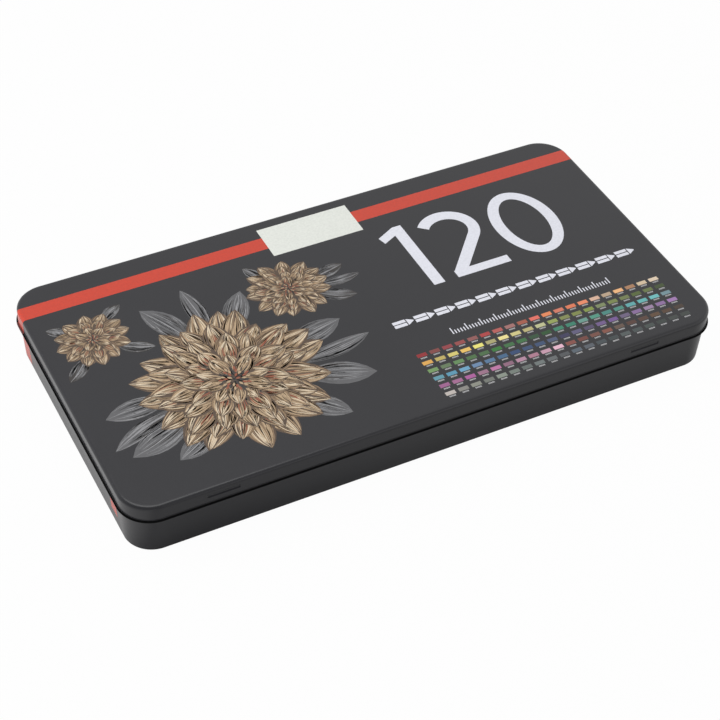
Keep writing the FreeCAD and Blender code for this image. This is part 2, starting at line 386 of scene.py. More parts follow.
def pressCatch(point, dy):
    if dy > -tin["straight"]:
        return point
    halfRun = (lid["catchLength"] - lid["catchHeight"]) / 2
    for x in catchXs:
        along = max(abs(point.x - x) - halfRun, 0)
        away = math.hypot(along, point.z - catchLevel) / (lid["catchHeight"] / 2)
        if away < 1 and rollLevel < point.z:
            ease = min(1, (1 - away) / (1 - lid["catchFlat"]))
            point.y += lid["catchDepth"] * ease * ease * (3 - 2 * ease)
    return point


def lidShell():
    edge, sheet, bore, root = tin["topEdge"], tin["sheet"], tin["rollBore"], tin["rollRoot"]
    edgeLevel = lidTop - edge
    count, reach = lid["catchRows"]
    rows = [edgeLevel, lidTop - lid["edgeRow"]] + spread(catchLevel + reach, catchLevel - reach, count)
    rows += [rootLevel + lid["rootRow"], rootLevel]
    rollEnd = rollStart - tin["rollTurn"]
    panel = [(-edge - tin["flatHold"], lidTop)] + arcSteps(-edge, edgeLevel, edge, 90, 0, 11)
    skirt = [(0, up) for up in rows[1:]]
    hem = arcSteps(root, rootLevel, root, 180, 180 + rollStart, 9)[1:]
    satinHollowStrips = len(hem) // 2     # the hollow's strips that keep the skirt's satin print; the rest of the hem is painted shade
    hem += arcSteps(rollOut, rollLevel, rollRadius, rollStart, rollEnd, 33)[1:]
    inside = arcSteps(rollOut, rollLevel, bore, rollEnd, rollStart, 19)
    inside += arcSteps(root, rootLevel, root + sheet, 180 + rollStart, 180, 7)[1:-1]
    inside += [(-sheet, up) for up in reversed(rows)]
    inside += arcSteps(-edge, edgeLevel, edge - sheet, 0, 90, 9)[1:]
    inside += [(-edge - tin["flatHold"], lidTop - sheet)]
    outside = panel + skirt + hem
    # painted shade from the hollow's middle round the roll, in the darker dull black
    kinds = [printFace] * (len(panel) + len(skirt) - 1 + satinHollowStrips) + [rollShadeFace] * (len(hem) - satinHollowStrips)
    kinds += [cutFace] + [insideFace] * (len(inside) - 1)
    windowOut = outside.index((0, rootLevel))
    windowIn = len(outside) + inside.index((-sheet, rootLevel))

    def inWindow(here, after):
        if min(here[3], after[3]) < tin["straight"]:
            return False
        middle = (here[0] + after[0]) / 2
        return any(low < middle < high for low, high in windowEnds)

    frontXs = {-runX, runX, 0}
    near, far = lid["catchEnds"]
    for x in catchXs:
        frontXs |= set(spread(x - far, x - near, lid["endStations"]))
        frontXs |= set(spread(x - near, x + near, lid["middleStations"]))
        frontXs |= set(spread(x + near, x + far, lid["endStations"]))
    backXs = {-runX, runX, 0} | {x for ends in windowEnds for x in ends}
    ring = stations(sorted(frontXs), sorted(backXs), spread(-runY, runY, 7))
    gaps = {"rows": (windowOut, windowIn), "test": inWindow}
    piece = sweepShell("lidTin", ring, outside + inside, kinds, tinMats, pressCatch, gaps)
    for face in piece.data.polygons:
        nearCatch = abs(face.center.z - catchLevel) < lid["catchHeight"] / 2
        if nearCatch and face.material_index == printFace and abs(face.normal.z) > lid["catchTilt"]:
            face.material_index = pressFace
    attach(piece, "lid")
    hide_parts("lid_shell")


lidShell()
print("lid built")

# base: raised floor panel, foot, leaning wall and folded rim
base = {
    "footInset": 2.3 * mm,
    "rimInset": 0.79 * mm,
    "footRadius": 0.8 * mm,
    "panelBorder": 10 * mm,
    "panelRamp": 1.2 * mm,
    "panelLift": 0.8 * mm,
    "rimFold": 3 * mm,
    "footFlat": 0.8 * mm,      # level strip between the foot and the ramp
}
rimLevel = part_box("base_shell")[1].z


def wallInset(level):
    return base["footInset"] + (base["rimInset"] - base["footInset"]) * level / rimLevel


def baseShell():
    sheet, foot, lift = tin["sheet"], base["footRadius"], base["panelLift"]
    footOut = -wallInset(foot) - foot
    rampOut = -base["footInset"] - base["panelBorder"]
    rampIn = rampOut - base["panelRamp"]
    foldLevel, leafEnd = rimLevel - sheet, rimLevel - base["rimFold"]
    foldOut = -wallInset(foldLevel) - sheet
    flat = rampOut + base["footFlat"]
    under = [(rampIn - tin["flatHold"], lift), (rampIn, lift), (rampOut, 0), (flat, 0)]
    under += arcSteps(footOut, foot, foot, -90, 0, 8)
    wall = [(-wallInset(up), up) for up in spread(foot, foldLevel, 8)][1:]
    fold = arcSteps(foldOut, foldLevel, sheet, 0, 180, 9)[1:]
    leaf = [(-wallInset(leafEnd) - 2 * sheet, leafEnd), (-wallInset(leafEnd) - sheet, leafEnd)]
    inner = [(-wallInset(up) - sheet, up) for up in spread(leafEnd, foot, 6)][1:-1]
    inner += arcSteps(footOut, foot, foot - sheet, 0, -90, 6)
    inner += [(flat, sheet), (rampOut, sheet), (rampIn, lift + sheet)]
    inner += [(rampIn - tin["flatHold"], lift + sheet)]
    section = under + wall + fold + leaf + inner
    kinds = [printFace] * (len(under) + len(wall) + len(fold)) + [insideFace] * (len(leaf) + len(inner))
    xs = spread(-runX, runX, 9)
    ring = stations(xs, xs, spread(-runY, runY, 5))
    # the section runs from below outwards, so the ring is walked the other way to face out
    piece = sweepShell("baseTin", ring[::-1], section, kinds, [basePrint, insideBlack])
    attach(piece, "base")
    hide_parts("base_shell")


baseShell()
print("base built")

for name in ("hinge_strap_left", "hinge_strap_right"):
    dress(name, basePrint)
dress("hinge_wire", bareSteel("drawnWire", finish["steel"]))


# prints: closed films a few hundredths of a millimetre proud of the tin
inks = {
    "red": (0.55, 0.038, 0.013),
    "paintedShadeRed": (0.075, 0.006, 0.005),      # painted shade: the stripe darkened where it goes round the hem
    "cream": (0.735, 0.755, 0.705),
    "pale": (0.74, 0.75, 0.82),
    "caption": (0.42, 0.42, 0.43),
}
filmLow = 0.001 * mm      # films start this far off the tin
filmThick = 0.03 * mm


def inkMaterial(name, color, rough=0.4):
    mat, tree, shader = newMaterial(name)
    paint(tree, shader, cloudy(tree, noise(tree, 700, 3), color, 0.93, 1.05))
    satin(tree, shader, noise(tree, 220, 3), rough - 0.04, rough + 0.06)
    bump(tree, shader, noise(tree, 2600, 2), 0.06, finish["grain"])
    return mat


redInk = inkMaterial("redInk", inks["red"], rough=0.22)
paintedShadeRedInk = inkMaterial("paintedShadeRedInk", inks["paintedShadeRed"], rough=0.55)
paleInk = inkMaterial("paleInk", inks["pale"])


def lidFilm(name, verts, faces, mat):
    piece = meshObject(name, verts, faces, [mat], sharp=30)
    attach(piece, "lid")


def millimetres(outline):
    return [(x * mm, y * mm) for x, y in outline]


def quad(left, front, right, back):
    return [(left, front), (right, front), (right, back), (left, back)]


def rectangle(x, y, wide, high):
    return quad(x - wide / 2, y - high / 2, x + wide / 2, y + high / 2)


def addPrint(mesh, outline, thick=filmThick):      # flat film on the panel, outline in millimetres
    addPlate(*mesh, millimetres(outline), lidTop + filmLow, lidTop + thick)


# red stripe: over the panel and down both ends of the skirt
stripe = {
    "front": 72.5 * mm,
    "back": 83.5 * mm,
    "thick": 0.02 * mm,
    "hemFrom": -60,      # degrees round the roll where it begins, below the outer side
    "steps": 3,
}


def stripeStations(front, back):      # stations of a band that reaches into the rear corner
    steps = stripe["steps"]
    turn = math.asin((back - runY) / (tin["corner"] - tin["topEdge"]))
    found = [(y, 0.0) for y in spread(front, runY, steps + 1)]
    return found + [(runY, turn * k / steps) for k in range(1, steps + 1)]


def lidStripe():
    edge, corner, root = tin["topEdge"], tin["corner"], tin["rollRoot"]
    edgeLevel = lidTop - edge

    def lines(path):
        grid = []
        for y, turn in stripeStations(stripe["front"], stripe["back"]):
            grid.append([(runX + (corner + out) * math.cos(turn), y + (corner + out) * math.sin(turn), up)
                         for out, up in path])
        return grid[::-1]

    def overPanel(lift):
        path = [(lift, up) for up in spread(rootLevel, edgeLevel, 4)][:-1]
        path += arcSteps(-edge, edgeLevel, edge + lift, 0, 90, 9)
        return [[(-x, y, z) for x, y, z in line] + line[::-1] for line in lines(path)]

    def roundHem(lift, side):
        path = arcSteps(rollOut, rollLevel, rollRadius + lift, stripe["hemFrom"], rollStart, 17)
        path += arcSteps(root, rootLevel, root - lift, 180 + rollStart, 180, 7)[1:]
        return [[(side * x, y, z) for x, y, z in line[::-side]] for line in lines(path)]

    mesh = [], []
    addGridFilm(*mesh, overPanel(filmLow), overPanel(stripe["thick"]))
    lidFilm("lidStripe", *mesh, redInk)
    # the stripe round the hem in a darker red, painted shade
    mesh = [], []
    for side in (-1, 1):
        addGridFilm(*mesh, roundHem(filmLow, side), roundHem(stripe["thick"], side))
    lidFilm("hemStripe", *mesh, paintedShadeRedInk)


lidStripe()

# two red marks on the left wall of the base: below the stripe, and a short one near the front
baseMarks = [
    {"front": 71 * mm, "back": 83 * mm, "low": 1.6 * mm, "high": 27 * mm},
    {"front": -73 * mm, "back": -63.5 * mm, "low": 9 * mm, "high": 27 * mm},
]


def wallGrid(mark, lift):      # points on the base's left wall
    front, back = mark["front"], mark["back"]
    places = stripeStations(front, back) if back > runY else [(y, 0.0) for y in spread(front, back, 3)]
    grid = []
    for y, turn in places:
        line = []
        for up in spread(mark["low"], mark["high"], 3):
            reach = tin["corner"] - wallInset(up) + lift
            line.append((-runX - reach * math.cos(turn), y + reach * math.sin(turn), up))
        grid.append(line)
    return grid[::-1]


def baseRedMarks():
    mesh = [], []
    for mark in baseMarks:
        addGridFilm(*mesh, wallGrid(mark, filmLow), wallGrid(mark, stripe["thick"]))
    piece = meshObject("baseRedMarks", *mesh, [redInk], sharp=30)
    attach(piece, "base")


baseRedMarks()

# bare label over the stripe, places in millimetres
label = {"left": -31.0, "right": 31.2, "front": 64.3, "back": 91.5, "thick": 0.045 * mm}


def lidLabel():
    mesh = [], []
    addPrint(mesh, quad(label["left"], label["front"], label["right"], label["back"]), label["thick"])
    lidFilm("lidLabel", *mesh, inkMaterial("creamLabel", inks["cream"], rough=0.5))


lidLabel()

# the number of pencils in plain round strokes, places in millimetres
number = {
    "foot": -1.9,
    "top": 58.4,
    "stroke": 7.65,
    "stem": 46.7,                                         # left side of the 1
    "flag": [(48.4, 58.4), (35.7, 51.9), (37.4, 45.8)],
    "flagRoot": 50.4,
    "bowl": (79.9, 40.6, 16.6, 15.2),                     # middle and half sizes of the 2's arc
    "bowlTurn": (146, -38.5),                             # degrees
    "heel": (66.6, 1.2),
    "bar": (63.8, 101.5, 6.4),                            # ends and height of the 2's foot
    "barOver": 0.002 * mm,                                # over the heel, so that their tops don't coincide
    "ring": (128.9, 27.8, 21.4, 31.6),                    # the 0, to its outer side
    "ringThin": 0.9,                                      # its stroke at top and foot, against the sides
}


def lidNumber():
    mesh = [], []
    low, high = lidTop + filmLow, lidTop + filmThick
    foot, width, stem = number["foot"], number["stroke"], number["stem"]
    one = [(stem, foot), (stem + width, foot), (stem + width, number["top"])]
    addPrint(mesh, one + number["flag"] + [(stem, number["flagRoot"])])
    x, y, wide, tall = number["bowl"]
    start, end = (math.radians(angle) for angle in number["bowlTurn"])
    two = [(x + wide * math.cos(angle), y + tall * math.sin(angle)) for angle in spread(start, end, 30)]
    heel = Vector(number["heel"])
    two += [tuple(Vector(two[-1]).lerp(heel, share)) for share in (0.25, 0.5, 0.75, 1)]
    left, right = pathSides(two, [width / 2] * len(two))
    addBand(*mesh, millimetres(left), millimetres(right), low, high)
    left, right, tall = number["bar"]
    addPrint(mesh, quad(left, foot, right, foot + tall), filmThick + number["barOver"])
    x, y, wide, tall = number["ring"]
    outer, inner = [], []
    for angle in spread(0, 2 * math.pi, 73):
        across, up = math.cos(angle), math.sin(angle)
        outer.append((x + wide * across, y + tall * up))
        inner.append((x + (wide - width) * across, y + (tall - width * number["ringThin"]) * up))
    addBand(*mesh, millimetres(inner), millimetres(outer), low, high)
    lidFilm("lidNumber", *mesh, paleInk)


lidNumber()

# a row of small pencil signs and a plain scale, in millimetres
signs = {
    "count": 12,
    "left": 6.5,
    "right": 177.0,
    "level": -24.8,
    "body": 8.4,
    "tip": 4.2,
    "gap": 0.7,
    "high": 5.6,
}
scale = {
    "left": 36.0,
    "level": -46.0,
    "marks": 56,
    "pitch": 2.0,
    "wide": 0.75,
    "short": 3.2,
    "tall": 5.6,
    "group": 5,      # every fifth mark is tall
}


def lidSigns():
    mesh = [], []
    body, tip, gap, half = signs["body"], signs["tip"], signs["gap"], signs["high"] / 2
    y = signs["level"]
    for x in spread(signs["left"], signs["right"] - body - gap - tip, signs["count"]):
        for bottom, top in ((-half, -gap / 2), (gap / 2, half)):      # two facets of the barrel
            addPrint(mesh, quad(x, y + bottom, x + body, y + top))
        start, end = x + body + gap, x + body + gap + tip
        addPrint(mesh, [(start, y - half), (end, y - gap / 2), (end, y + gap / 2), (start, y + half)])
    for k in range(scale["marks"]):
        tall = scale["short"] if k % scale["group"] else scale["tall"]
        x, y = scale["left"] + k * scale["pitch"], scale["level"] + tall / 2
        addPrint(mesh, rectangle(x, y, scale["wide"], tall))
    lidFilm("lidSigns", *mesh, paleInk)


lidSigns()

# colour families: hue, saturation and value from the first shade to the tenth
families = {
    "red": ((0.985, 0.95, 0.55), (1.03, 0.80, 0.95)),
    "orange": ((0.045, 0.90, 0.95), (0.095, 0.45, 0.98)),
    "yellow": ((0.115, 0.85, 0.98), (0.165, 0.40, 0.98)),
    "olive": ((0.19, 0.75, 0.78), (0.235, 0.70, 0.40)),
    "green": ((0.29, 0.65, 0.72), (0.37, 0.85, 0.36)),
    "turquoise": ((0.43, 0.80, 0.55), (0.52, 0.55, 0.85)),
    "blue": ((0.55, 0.60, 0.90), (0.63, 0.85, 0.45)),
    "violet": ((0.69, 0.60, 0.45), (0.80, 0.40, 0.80)),
    "pink": ((0.86, 0.65, 0.62), (0.95, 0.45, 0.95)),
    "brown": ((0.035, 0.65, 0.62), (0.07, 0.70, 0.30)),
    "grey": ((0.08, 0.10, 0.80), (0.60, 0.12, 0.38)),
    "dark": ((0.60, 0.25, 0.42), (0.40, 0.20, 0.24)),
}
perFamily = 10
shadeDrift = {"hue": (-0.018, 0.018), "saturation": (0.42, 0.85), "value": (0.66, 0.98)}
gamma = 2.2


def familyShades(family):
    first, last = families[family]
    drift = random.Random(family)      # the same shades each time
    found = []
    for k in range(perFamily):
        h, s, v = (a + (b - a) * k / (perFamily - 1) for a, b in zip(first, last))
        h += drift.uniform(*shadeDrift["hue"])
        s *= drift.uniform(*shadeDrift["saturation"])
        v *= drift.uniform(*shadeDrift["value"])
        found.append(tuple(c ** gamma for c in colorsys.hsv_to_rgb(h % 1, s, v)))
    return found


def familyColor(tree, family, start, pitch):      # the shade at this place along X
    x = splitCoords(tree, "Object")["X"]
    place = maths(tree, "DIVIDE", maths(tree, "SUBTRACT", x, start), pitch * perFamily)
    return ramp(tree, place, [(k / perFamily, tone) for k, tone in enumerate(familyShades(family))], True)


# chart: six rows of twenty chips, each over a row of small marks, in millimetres
chart = {
    "rows": [("red", "orange"), ("yellow", "olive"), ("green", "turquoise"), ("blue", "violet"),
             ("pink", "brown"), ("grey", "dark")],
    "first": (9.8, -54.2),
    "pitch": (8.553, -7.0),
    "chip": (6.4, 2.9),
    "marks": 5,
    "markPitch": 0.85,
    "mark": (0.62, 1.1),
    "markDrop": 2.65,
}


def chipMaterial(family, start):
    mat, tree, shader = newMaterial("chips_" + family)
    tone = familyColor(tree, family, start, chart["pitch"][0] * mm)
    grain = remap(tree, noise(tree, 700, 3), 0.9, 1.06)
    paint(tree, shader, mixColor(tree, grain, (0, 0, 0), tone))
    shader.inputs["Roughness"].default_value = 0.4
    bump(tree, shader, noise(tree, 2600, 2), 0.06, finish["grain"])
    return mat


def lidChart():
    captions = [], []
    reach = chart["markPitch"] * (chart["marks"] - 1) / 2
    pitch, rowPitch = chart["pitch"]
    for row, pair in enumerate(chart["rows"]):
        y = chart["first"][1] + row * rowPitch
        for half, family in enumerate(pair):
            chips = [], []
            xs = [chart["first"][0] + (half * perFamily + k) * pitch for k in range(perFamily)]
            for x in xs:
                addPrint(chips, rectangle(x, y, *chart["chip"]))
                for place in spread(x - reach, x + reach, chart["marks"]):
                    addPrint(captions, rectangle(place, y - chart["markDrop"], *chart["mark"]))
            lidFilm("chips_" + family, *chips, chipMaterial(family, (xs[0] - pitch / 2) * mm))
    lidFilm("chipCaptions", *captions, inkMaterial("captionInk", inks["caption"]))


lidChart()
print("label, number, signs and chart printed")

# picture: a spray of dahlias in tapered pencil strokes
spray = {
    "tones": {      # linear colours
        "soot": (0.022, 0.018, 0.016),
        "umber": (0.075, 0.045, 0.026),
        "tan": (0.26, 0.17, 0.095),
        "sand": (0.46, 0.33, 0.20),
        "cream": (0.70, 0.58, 0.42),
        "ash": (0.10, 0.10, 0.105),
        "silver": (0.30, 0.30, 0.31),
        "russet": (0.27, 0.075, 0.035),
    },
    "blooms": [      # leaves: heading, length and width, tucked under the outer petals
        {"x": -98, "y": -26, "radius": 60, "petals": 18, "layers": 5,
         "leaves": [(16, 44, 17), (-20, 46, 19), (-48, 36, 16), (-132, 34, 15), (207, 46, 18), (178, 42, 16),
                    (66, 40, 16), (104, 46, 17), (-4, 52, 12), (192, 50, 11), (86, 48, 12)]},
        {"x": -36, "y": 33, "radius": 27, "petals": 14, "layers": 4,
         "leaves": [(-38, 26, 11), (8, 24, 10), (-14, 30, 8), (124, 17, 8)]},
        {"x": -160, "y": 40, "radius": 23, "petals": 12, "layers": 3,
         "leaves": [(138, 15, 8), (48, 20, 9), (236, 24, 10), (-42, 24, 10)]},
    ],
    "tuck": 0.62,            # share of the bloom's radius where its leaves start
    "fullRadius": 60,        # a bloom of this size takes the full count of strokes
    "innerReach": 0.18,      # the innermost layer's reach, share of the radius
    "crowding": 0.9,         # how the layers crowd towards the middle
    "petalRoot": 0.30,       # where a petal starts, share of its reach
    "middleRoot": 0.5,       # and in the innermost layer, millimetres
    "petalWidth": 0.86,      # share of the room between its neighbours
    "petalLength": (0.92, 1.04),
    "sway": 0.05,            # how far headings and bends wander, radians
    "petalBow": 0.14,
    "leafBow": 0.25,
    "lean": 0.12,            # and how far a stroke leans across its petal
    "strokeWidth": (0.7, 1.3),
    "strokeTaper": (0.05, 0.95, 0.7),      # ends within half a sine wave, and its power
    "petalTaper": (0.06, 1.25, 0.8),       # start within it, skew towards the tip, and power
    "largeLeaf": 30,         # a longer leaf has a grey ground, a shorter one a dark one
    "seeds": 46,             # strokes in the heart, in a spiral
    "seedTurn": 2.4,
    "heart": 0.13,           # shares of the radius
    "seedLength": 0.05,
    "seedWidth": 0.55,       # share of its length
    "leafLevel": 0.004,      # heights of the films, millimetres
    "leafStep": 0.0003,
    "level": 0.014,
    "step": 0.006,
    "strokeStep": 0.001,
}
dice = random.Random(11)
strokeMeshes = {tone: ([], []) for tone in spray["tones"]}


def blade(path, width):      # tapered outline round a path
    start, end, power = spray["strokeTaper"]
    halves = [width / 2 * math.sin(math.pi * share) ** power for share in spread(start, end, len(path))]
    left, right = pathSides(path, halves)
    return right + left[::-1]


def petalPoint(petal, along, across):
    root, skew, power = spray["petalTaper"]
    half = petal["width"] / 2 * math.sin(math.pi * min(1, root + (1 - root) * along) ** skew) ** power
    heading = petal["heading"] + petal["bow"] * along
    reach = petal["start"] + petal["length"] * along
    return (petal["x"] + reach * math.cos(heading) - across * half * math.sin(heading),
            petal["y"] + reach * math.sin(heading) + across * half * math.cos(heading))


def film(tone, outline, level):
    addPrint(strokeMeshes[tone], outline, level * mm)


def drawPetal(petal, level, plate, marks):
    steps = spread(0, 1, 9)
    outline = [petalPoint(petal, t, -1) for t in steps]
    outline += [petalPoint(petal, t, 1) for t in reversed(steps[1:-1])]
    film(plate, outline, level)
    for order, (tone, count, start, end, side, width) in enumerate(marks):
        for k in range(count):
            across = dice.uniform(-side, side)
            a, b = dice.uniform(*start), dice.uniform(*end)
            lean = dice.uniform(-spray["lean"], spray["lean"])
            path = [petalPoint(petal, a + (b - a) * t, across + lean * t) for t in spread(0, 1, 6)]
            outline = blade(path, width * dice.uniform(*spray["strokeWidth"]))
            film(tone, outline, level + spray["strokeStep"] * (order + 1))


def drawHeart(bloom, level):      # closed heart of the bloom
    seed = bloom["radius"] * spray["seedLength"]
    for k in range(spray["seeds"]):
        reach = bloom["radius"] * spray["heart"] * math.sqrt((k + 0.5) / spray["seeds"])
        angle = spray["seedTurn"] * k
        path = []
        for along in (reach, reach + seed / 2, reach + seed):
            path.append((bloom["x"] + along * math.cos(angle), bloom["y"] + along * math.sin(angle)))
        outline = blade(path, seed * spray["seedWidth"])
        film(("russet", "sand", "soot")[k % 3], outline, level + spray["strokeStep"] * (k % 3))


def drawBloom(bloom):
    layers, size = bloom["layers"], bloom["radius"] / spray["fullRadius"]
    for layer in range(layers):
        share = 1 - layer / layers
        tip = bloom["radius"] * (spray["innerReach"] + (1 - spray["innerReach"]) * share ** spray["crowding"])
        start = tip * spray["petalRoot"] if layer < layers - 1 else spray["middleRoot"]
        count = bloom["petals"] - 2 * layer
        warm = "russet" if layer % 2 else "sand"
        marks = [      # tone, strokes, where they start and end, how far aside, width
            ("soot", round(8 * size + 4), (0.0, 0.15), (0.3, 0.62), 0.9, 0.75 * size + 0.2),
            ("tan", round(12 * size + 6), (0.18, 0.5), (0.7, 0.97), 0.9, 0.62 * size + 0.2),
            (warm, round(3 * size + 2), (0.2, 0.45), (0.6, 0.9), 0.6, 0.5 * size + 0.15),
            ("sand", round(7 * size + 3), (0.38, 0.62), (0.8, 0.99), 0.8, 0.55 * size + 0.15),
            ("cream", round(4 * size + 2), (0.55, 0.75), (0.85, 0.99), 0.65, 0.42 * size + 0.12),
        ]
        for k in range(count):
            sway = dice.uniform(-spray["sway"], spray["sway"])
            petal = {
                "x": bloom["x"], "y": bloom["y"], "start": start,
                "heading": 2 * math.pi * (k + 0.5 * (layer % 2)) / count + sway,
                "length": (tip - start) * dice.uniform(*spray["petalLength"]),
                "width": 2 * math.pi * tip / count * spray["petalWidth"],
                "bow": dice.uniform(-spray["petalBow"], spray["petalBow"]),
            }
            drawPetal(petal, spray["level"] + spray["step"] * (2 * layer + k % 2), "umber", marks)
    drawHeart(bloom, spray["level"] + spray["step"] * (2 * layers + 0.5))


def drawLeaf(x, y, heading, length, width, level):
    leaf = {
        "x": x, "y": y, "start": 0, "heading": math.radians(heading), "length": length, "width": width,
        "bow": dice.uniform(-spray["leafBow"], spray["leafBow"]),
    }
    marks = [
        ("soot", 12, (0.0, 0.3), (0.4, 0.8), 0.9, 0.8),
        ("ash", 26, (0.05, 0.5), (0.5, 0.98), 0.95, 0.55),
        ("silver", 14, (0.1, 0.6), (0.5, 0.98), 0.9, 0.3),
        ("silver", 1, (0.0, 0.01), (0.96, 0.98), 0.02, 0.5),
    ]
    drawPetal(leaf, level, "ash" if length > spray["largeLeaf"] else "soot", marks)


def drawSpray():
    level = spray["leafLevel"]
    for bloom in spray["blooms"]:
        for heading, length, width in bloom["leaves"]:
            reach = spray["tuck"] * bloom["radius"]
            x = bloom["x"] + reach * math.cos(math.radians(heading))
            y = bloom["y"] + reach * math.sin(math.radians(heading))
            drawLeaf(x, y, heading, length, width, level)
            level += spray["leafStep"]
    for bloom in spray["blooms"]:
        drawBloom(bloom)
    for tone, mesh in strokeMeshes.items():
        lidFilm("strokes_" + tone, *mesh, inkMaterial("pencil_" + tone, spray["tones"][tone], rough=0.45))


drawSpray()
print("picture drawn:", sum(len(faces) for verts, faces in strokeMeshes.values()), "faces")

# foam sheet under the lid panel
foam = {
    "edge": 0.8 * mm,
    "wave": 0.12 * mm,
    "color": (0.022, 0.022, 0.024),
    "fill": 0.93,
    "rings": (0.01, 0.12, 0.25, 0.4, 0.55, 0.7, 0.82, 0.92),      # shares of the way out, lower face
    "backEdge": 0.1 * mm,
    "division": 9 * mm,
    "cornerSteps": 12,
}


def foamMaterial():
    mat, tree, shader = newMaterial("linerFoam")
    cells = addNode(tree, "ShaderNodeTexVoronoi", {"Vector": objectCoords(tree), "Scale": 1500.0})
    depth = cells.outputs["Distance"]
    stops = [(0.1, shade(foam["color"], 0.5)), (0.6, shade(foam["color"], 1.4))]
    paint(tree, shader, ramp(tree, depth, stops))
    shader.inputs["Roughness"].default_value = 0.95
    shader.inputs["Specular IOR Level"].default_value = 0.2
    shader.inputs["Sheen Weight"].default_value = 0.15
    bump(tree, shader, depth, 0.5, 0.2 * mm)
    return mat


def foamWave(x, y):      # slow ripple from 0 to 1
    across = math.sin(x * 61 + 3 * math.sin(y * 37))
    along = math.sin(y * 83 + 2 * math.sin(x * 29))
    return 0.5 + 0.25 * across + 0.25 * along


def lidFoam():
    low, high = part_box("lid_liner")
    halfX, halfY, thick = (high.x - low.x) / 2, (high.y - low.y) / 2, high.z - low.z
    corner = tin["corner"] - tin["sheet"] - (halfLength - tin["sheet"] - halfX)
    outline = []
    steps = foam["cornerSteps"]
    for quarter, (sx, sy) in enumerate(((1, 1), (-1, 1), (-1, -1), (1, -1))):
        for k in range(steps + 1):
            angle = math.radians(90 * (quarter + k / steps))
            outline.append((sx * (halfX - corner) + corner * math.cos(angle),
                            sy * (halfY - corner) + corner * math.sin(angle)))
    dense = []      # outline with the long sides divided
    for k, (x, y) in enumerate(outline):
        nx, ny = outline[(k + 1) % len(outline)]
        parts = max(1, round(math.hypot(nx - x, ny - y) / foam["division"]))
        dense += [(x + (nx - x) * t / parts, y + (ny - y) * t / parts) for t in range(parts)]
    edge, back = foam["edge"], foam["backEdge"]
    loops = [(share, 0.0) for share in foam["rings"]]      # share of the way out, height over the lower face
    waved = len(loops)
    for angle in spread(0, math.pi / 2, 4):
        loops.append((1 - edge / halfY * (1 - math.sin(angle)), edge * (1 - math.cos(angle))))
    loops += [(1.0, thick - back), (1 - back / halfY, thick), (0.5, thick), (foam["rings"][0], thick)]
    spine = halfX - halfY
    verts, faces = [], []
    for loop, (share, up) in enumerate(loops):
        for x, y in dense:
            mx = max(-spine, min(spine, x))
            px, py = mx + (x - mx) * share, y * share
            wave = foam["wave"] * foamWave(px, py) if loop < waved else 0
            verts.append((px, py, low.z + up + wave))
    count = len(dense)
    for loop in range(len(loops) - 1):
        a, b = loop * count, (loop + 1) * count
        for k in range(count):
            after = (k + 1) % count
            faces.append([a + after, b + after, b + k, a + k])
    faces.append(list(reversed(range(count))))
    faces.append([(len(loops) - 1) * count + k for k in range(count)])
    piece = meshObject("lidFoam", verts, faces, [foamMaterial()], sharp=60)
    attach(piece, "lid")
    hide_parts("lid_liner")


lidFoam()

# trays: formed black sheet
tray = {
    "color": (0.017, 0.017, 0.018),
    "rough": (0.42, 0.58),
    "rubLevel": 0.7,      # rubbed where the noise is over this
    "rubMix": 0.25,
    "rubPale": 3,         # how many times paler a rub is
}


def trayMaterial():
    mat, tree, shader = newMaterial("trayPlastic")
    tone = cloudy(tree, noise(tree, 35, 4), tray["color"], 0.85, 1.2)
    rubs = maths(tree, "GREATER_THAN", noise(tree, 240, 6, 0.7), tray["rubLevel"])
    worn = maths(tree, "MULTIPLY", rubs, tray["rubMix"])
    paint(tree, shader, mixColor(tree, worn, tone, shade(tray["color"], tray["rubPale"])))
    satin(tree, shader, noise(tree, 120, 3), *tray["rough"])
    bump(tree, shader, noise(tree, 1700, 3), 0.15, 0.1 * mm)
    return mat


trayPlastic = trayMaterial()
for name in ("tray_top", "tray_middle", "tray_bottom"):
    dress(name, trayPlastic)

# pencils: black lacquer, sharpened cedar, an end dipped in the pencil's colour, coloured lead
pencil = {
    "pitch": 8.998 * mm,
    "first": -179.96 * mm,
    "flatEnd": -87.5 * mm,
    "bareStart": 59.5 * mm,      # wood shows past here where the surface tilts to the point
    "bareTilt": 0.05,
    "rough": (0.2, 0.72),        # lacquer and wood
    "dip": 12 * mm,
    "ring": 1.2 * mm,
    "lacquer": (0.010, 0.010, 0.011),
    "ringColor": (0.42, 0.40, 0.36),
    "cedar": ((0.36, 0.17, 0.08), (0.56, 0.32, 0.17)),
    "order": [("yellow", "orange", "red", "pink"), ("violet", "blue", "turquoise", "green"),
              ("olive", "brown", "grey", "dark")],
}


def casingMaterial(family, start):
    mat, tree, shader = newMaterial("casing_" + family)
    tone = familyColor(tree, family, start, pencil["pitch"])
    y = splitCoords(tree, "Object")["Y"]
    stretched = addNode(tree, "ShaderNodeMapping", {"Vector": objectCoords(tree), "Scale": (900, 60, 900)})
    grain = noise(tree, 1, 4, 0.6, stretched.outputs["Vector"])
    wood = ramp(tree, grain, [(0.3, pencil["cedar"][0]), (0.68, pencil["cedar"][1])])
    lacquer = cloudy(tree, noise(tree, 90, 3), pencil["lacquer"], 0.8, 1.3)
    dipEnd = pencil["flatEnd"] + pencil["dip"]
    dipped = maths(tree, "LESS_THAN", y, dipEnd)
    ringed = between(tree, y, dipEnd, dipEnd + pencil["ring"])
    tilted = maths(tree, "GREATER_THAN", splitCoords(tree, "Normal")["Y"], pencil["bareTilt"])
    bare = maths(tree, "MULTIPLY", tilted, maths(tree, "GREATER_THAN", y, pencil["bareStart"]))
    coat = mixColor(tree, ringed, mixColor(tree, dipped, lacquer, tone), pencil["ringColor"])
    paint(tree, shader, mixColor(tree, bare, coat, wood))
    satin(tree, shader, bare, *pencil["rough"])
    bump(tree, shader, maths(tree, "MULTIPLY", grain, bare), 0.25, 0.1 * mm)
    return mat


